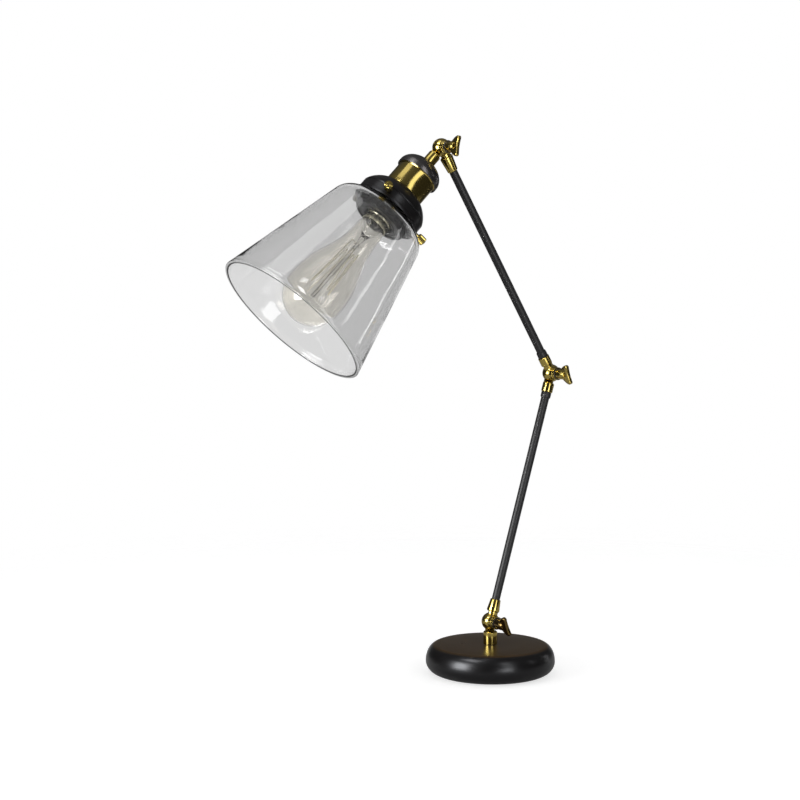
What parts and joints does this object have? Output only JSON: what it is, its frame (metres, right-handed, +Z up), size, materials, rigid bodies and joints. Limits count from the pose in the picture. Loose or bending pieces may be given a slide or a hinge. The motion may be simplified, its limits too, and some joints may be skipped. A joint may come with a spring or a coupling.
{
  "type": "articulated desk lamp",
  "caption": "Desk lamp with a heavy round base, slim jointed arms clamped by wing nuts, and a clear glass bell shade over a filament bulb.",
  "frame": {"origin": "middle of the base's underside, on the table", "axes": "+Z up; the arms swing in the XZ plane, the head reaches towards -X, and the wing nuts face -Y"},
  "size_m": [0.3454, 0.1552, 0.5176],
  "materials": {
    "black_lacquer": "gloss",
    "satin_black": "satin",
    "antique_brass": "polished, lacquered, slightly aged",
    "dark_bronze": "satin",
    "cast_iron": "rough",
    "zinc_steel": "plain",
    "black_rubber": "matt",
    "black_plastic": "satin",
    "lead_jacket": "smooth",
    "white_ceramic": "matt",
    "nickel": "bright",
    "clear_glass": "clear, gloss",
    "bulb_glass": "clear, faintly amber",
    "filament_carbon": "dull"
  },
  "bodies": {
    "base": {"base_shell": "black_lacquer", "base_weight": "cast_iron", "base_plate": "zinc_steel", "base_pad": "black_rubber", "base_nipple": "zinc_steel", "base_nipple_washer": "zinc_steel", "base_nipple_nut": "zinc_steel", "base_cord_grommet": "black_rubber", "stem": "antique_brass", "stem_lead": "lead_jacket", "base_plate_screw_1": "zinc_steel", "base_plate_screw_2": "zinc_steel", "base_plate_screw_3": "zinc_steel", "lower_joint_friction_ring": "black_plastic", "lower_joint_pivot_screw": "antique_brass"},
    "lower_arm": {"lower_arm_foot_knuckle": "antique_brass", "lower_arm_tube": "satin_black", "lower_arm_collar": "satin_black", "lower_arm_top_knuckle": "antique_brass", "lower_arm_lead": "lead_jacket", "lower_joint_nut_washer": "dark_bronze", "elbow_joint_friction_ring": "black_plastic", "elbow_joint_pivot_screw": "antique_brass"},
    "upper_arm": {"upper_arm_foot_knuckle": "antique_brass", "upper_arm_collar": "satin_black", "upper_arm_tube": "satin_black", "upper_arm_top_knuckle": "antique_brass", "upper_arm_lead": "lead_jacket", "elbow_joint_nut_washer": "dark_bronze", "head_joint_nut_washer": "dark_bronze"},
    "head": {"head_neck_knuckle": "antique_brass", "head_lead": "lead_jacket", "head_joint_friction_ring": "black_plastic", "head_joint_pivot_screw": "antique_brass", "socket_cap": "dark_bronze", "socket_cap_nut": "zinc_steel", "socket_shell": "antique_brass", "socket_insulator": "white_ceramic", "socket_sleeve": "black_plastic", "socket_screw_shell": "nickel", "socket_centre_contact": "antique_brass", "shade_holder": "black_lacquer", "shade_ring_nut": "black_plastic", "glass_shade": "clear_glass", "bulb_glass": "bulb_glass", "bulb_cap": "nickel", "bulb_cap_glass": "black_plastic", "bulb_contact": "nickel", "bulb_mount": "bulb_glass", "bulb_filament": "filament_carbon", "bulb_support_near": "nickel", "bulb_support_far": "nickel"},
    "lower_wing_nut": {"lower_joint_wing_nut": "antique_brass"},
    "elbow_wing_nut": {"elbow_joint_wing_nut": "antique_brass"},
    "head_wing_nut": {"head_joint_wing_nut": "antique_brass"},
    "thumb_screw_1": {"shade_thumb_screw_1": "antique_brass"},
    "thumb_screw_2": {"shade_thumb_screw_2": "antique_brass"},
    "thumb_screw_3": {"shade_thumb_screw_3": "antique_brass"}
  },
  "joints": [
    {"name": "lower_arm_tilt", "type": "hinge", "parent": "base", "child": "lower_arm", "pos_m": [0, 0, 0.051], "axis": [0, 1, 0], "range_deg": [-76, 44]},
    {"name": "elbow_fold", "type": "hinge", "parent": "lower_arm", "child": "upper_arm", "pos_m": [0.06891, 0, 0.29132], "axis": [0, 1, 0], "range_deg": [-59, 151]},
    {"name": "head_tilt", "type": "hinge", "parent": "upper_arm", "child": "head", "pos_m": [-0.05609, 0, 0.50782], "axis": [0, 1, 0], "range_deg": [-6.4, 217.6]},
    {"name": "lower_wing_nut_turn", "type": "hinge", "parent": "lower_arm", "child": "lower_wing_nut", "pos_m": [0, 0, 0.051], "axis": [0, -1, 0], "continuous": true},
    {"name": "elbow_wing_nut_turn", "type": "hinge", "parent": "upper_arm", "child": "elbow_wing_nut", "pos_m": [0.06891, 0, 0.29132], "axis": [0, -1, 0], "continuous": true},
    {"name": "head_wing_nut_turn", "type": "hinge", "parent": "upper_arm", "child": "head_wing_nut", "pos_m": [-0.05609, 0, 0.50782], "axis": [0, -1, 0], "continuous": true},
    {"name": "thumb_screw_1_turn", "type": "hinge", "parent": "head", "child": "thumb_screw_1", "pos_m": [-0.12876, -0.03042, 0.46758], "axis": [-0.4399, -0.788, 0.4308], "continuous": true},
    {"name": "thumb_screw_2_turn", "type": "hinge", "parent": "head", "child": "thumb_screw_2", "pos_m": [-0.12212, 0.03579, 0.46107], "axis": [-0.2677, 0.9272, 0.2621], "continuous": true},
    {"name": "thumb_screw_3_turn", "type": "hinge", "parent": "head", "child": "thumb_screw_3", "pos_m": [-0.08447, -0.00537, 0.42421], "axis": [0.7075, -0.1392, -0.6929], "continuous": true}
  ]
}
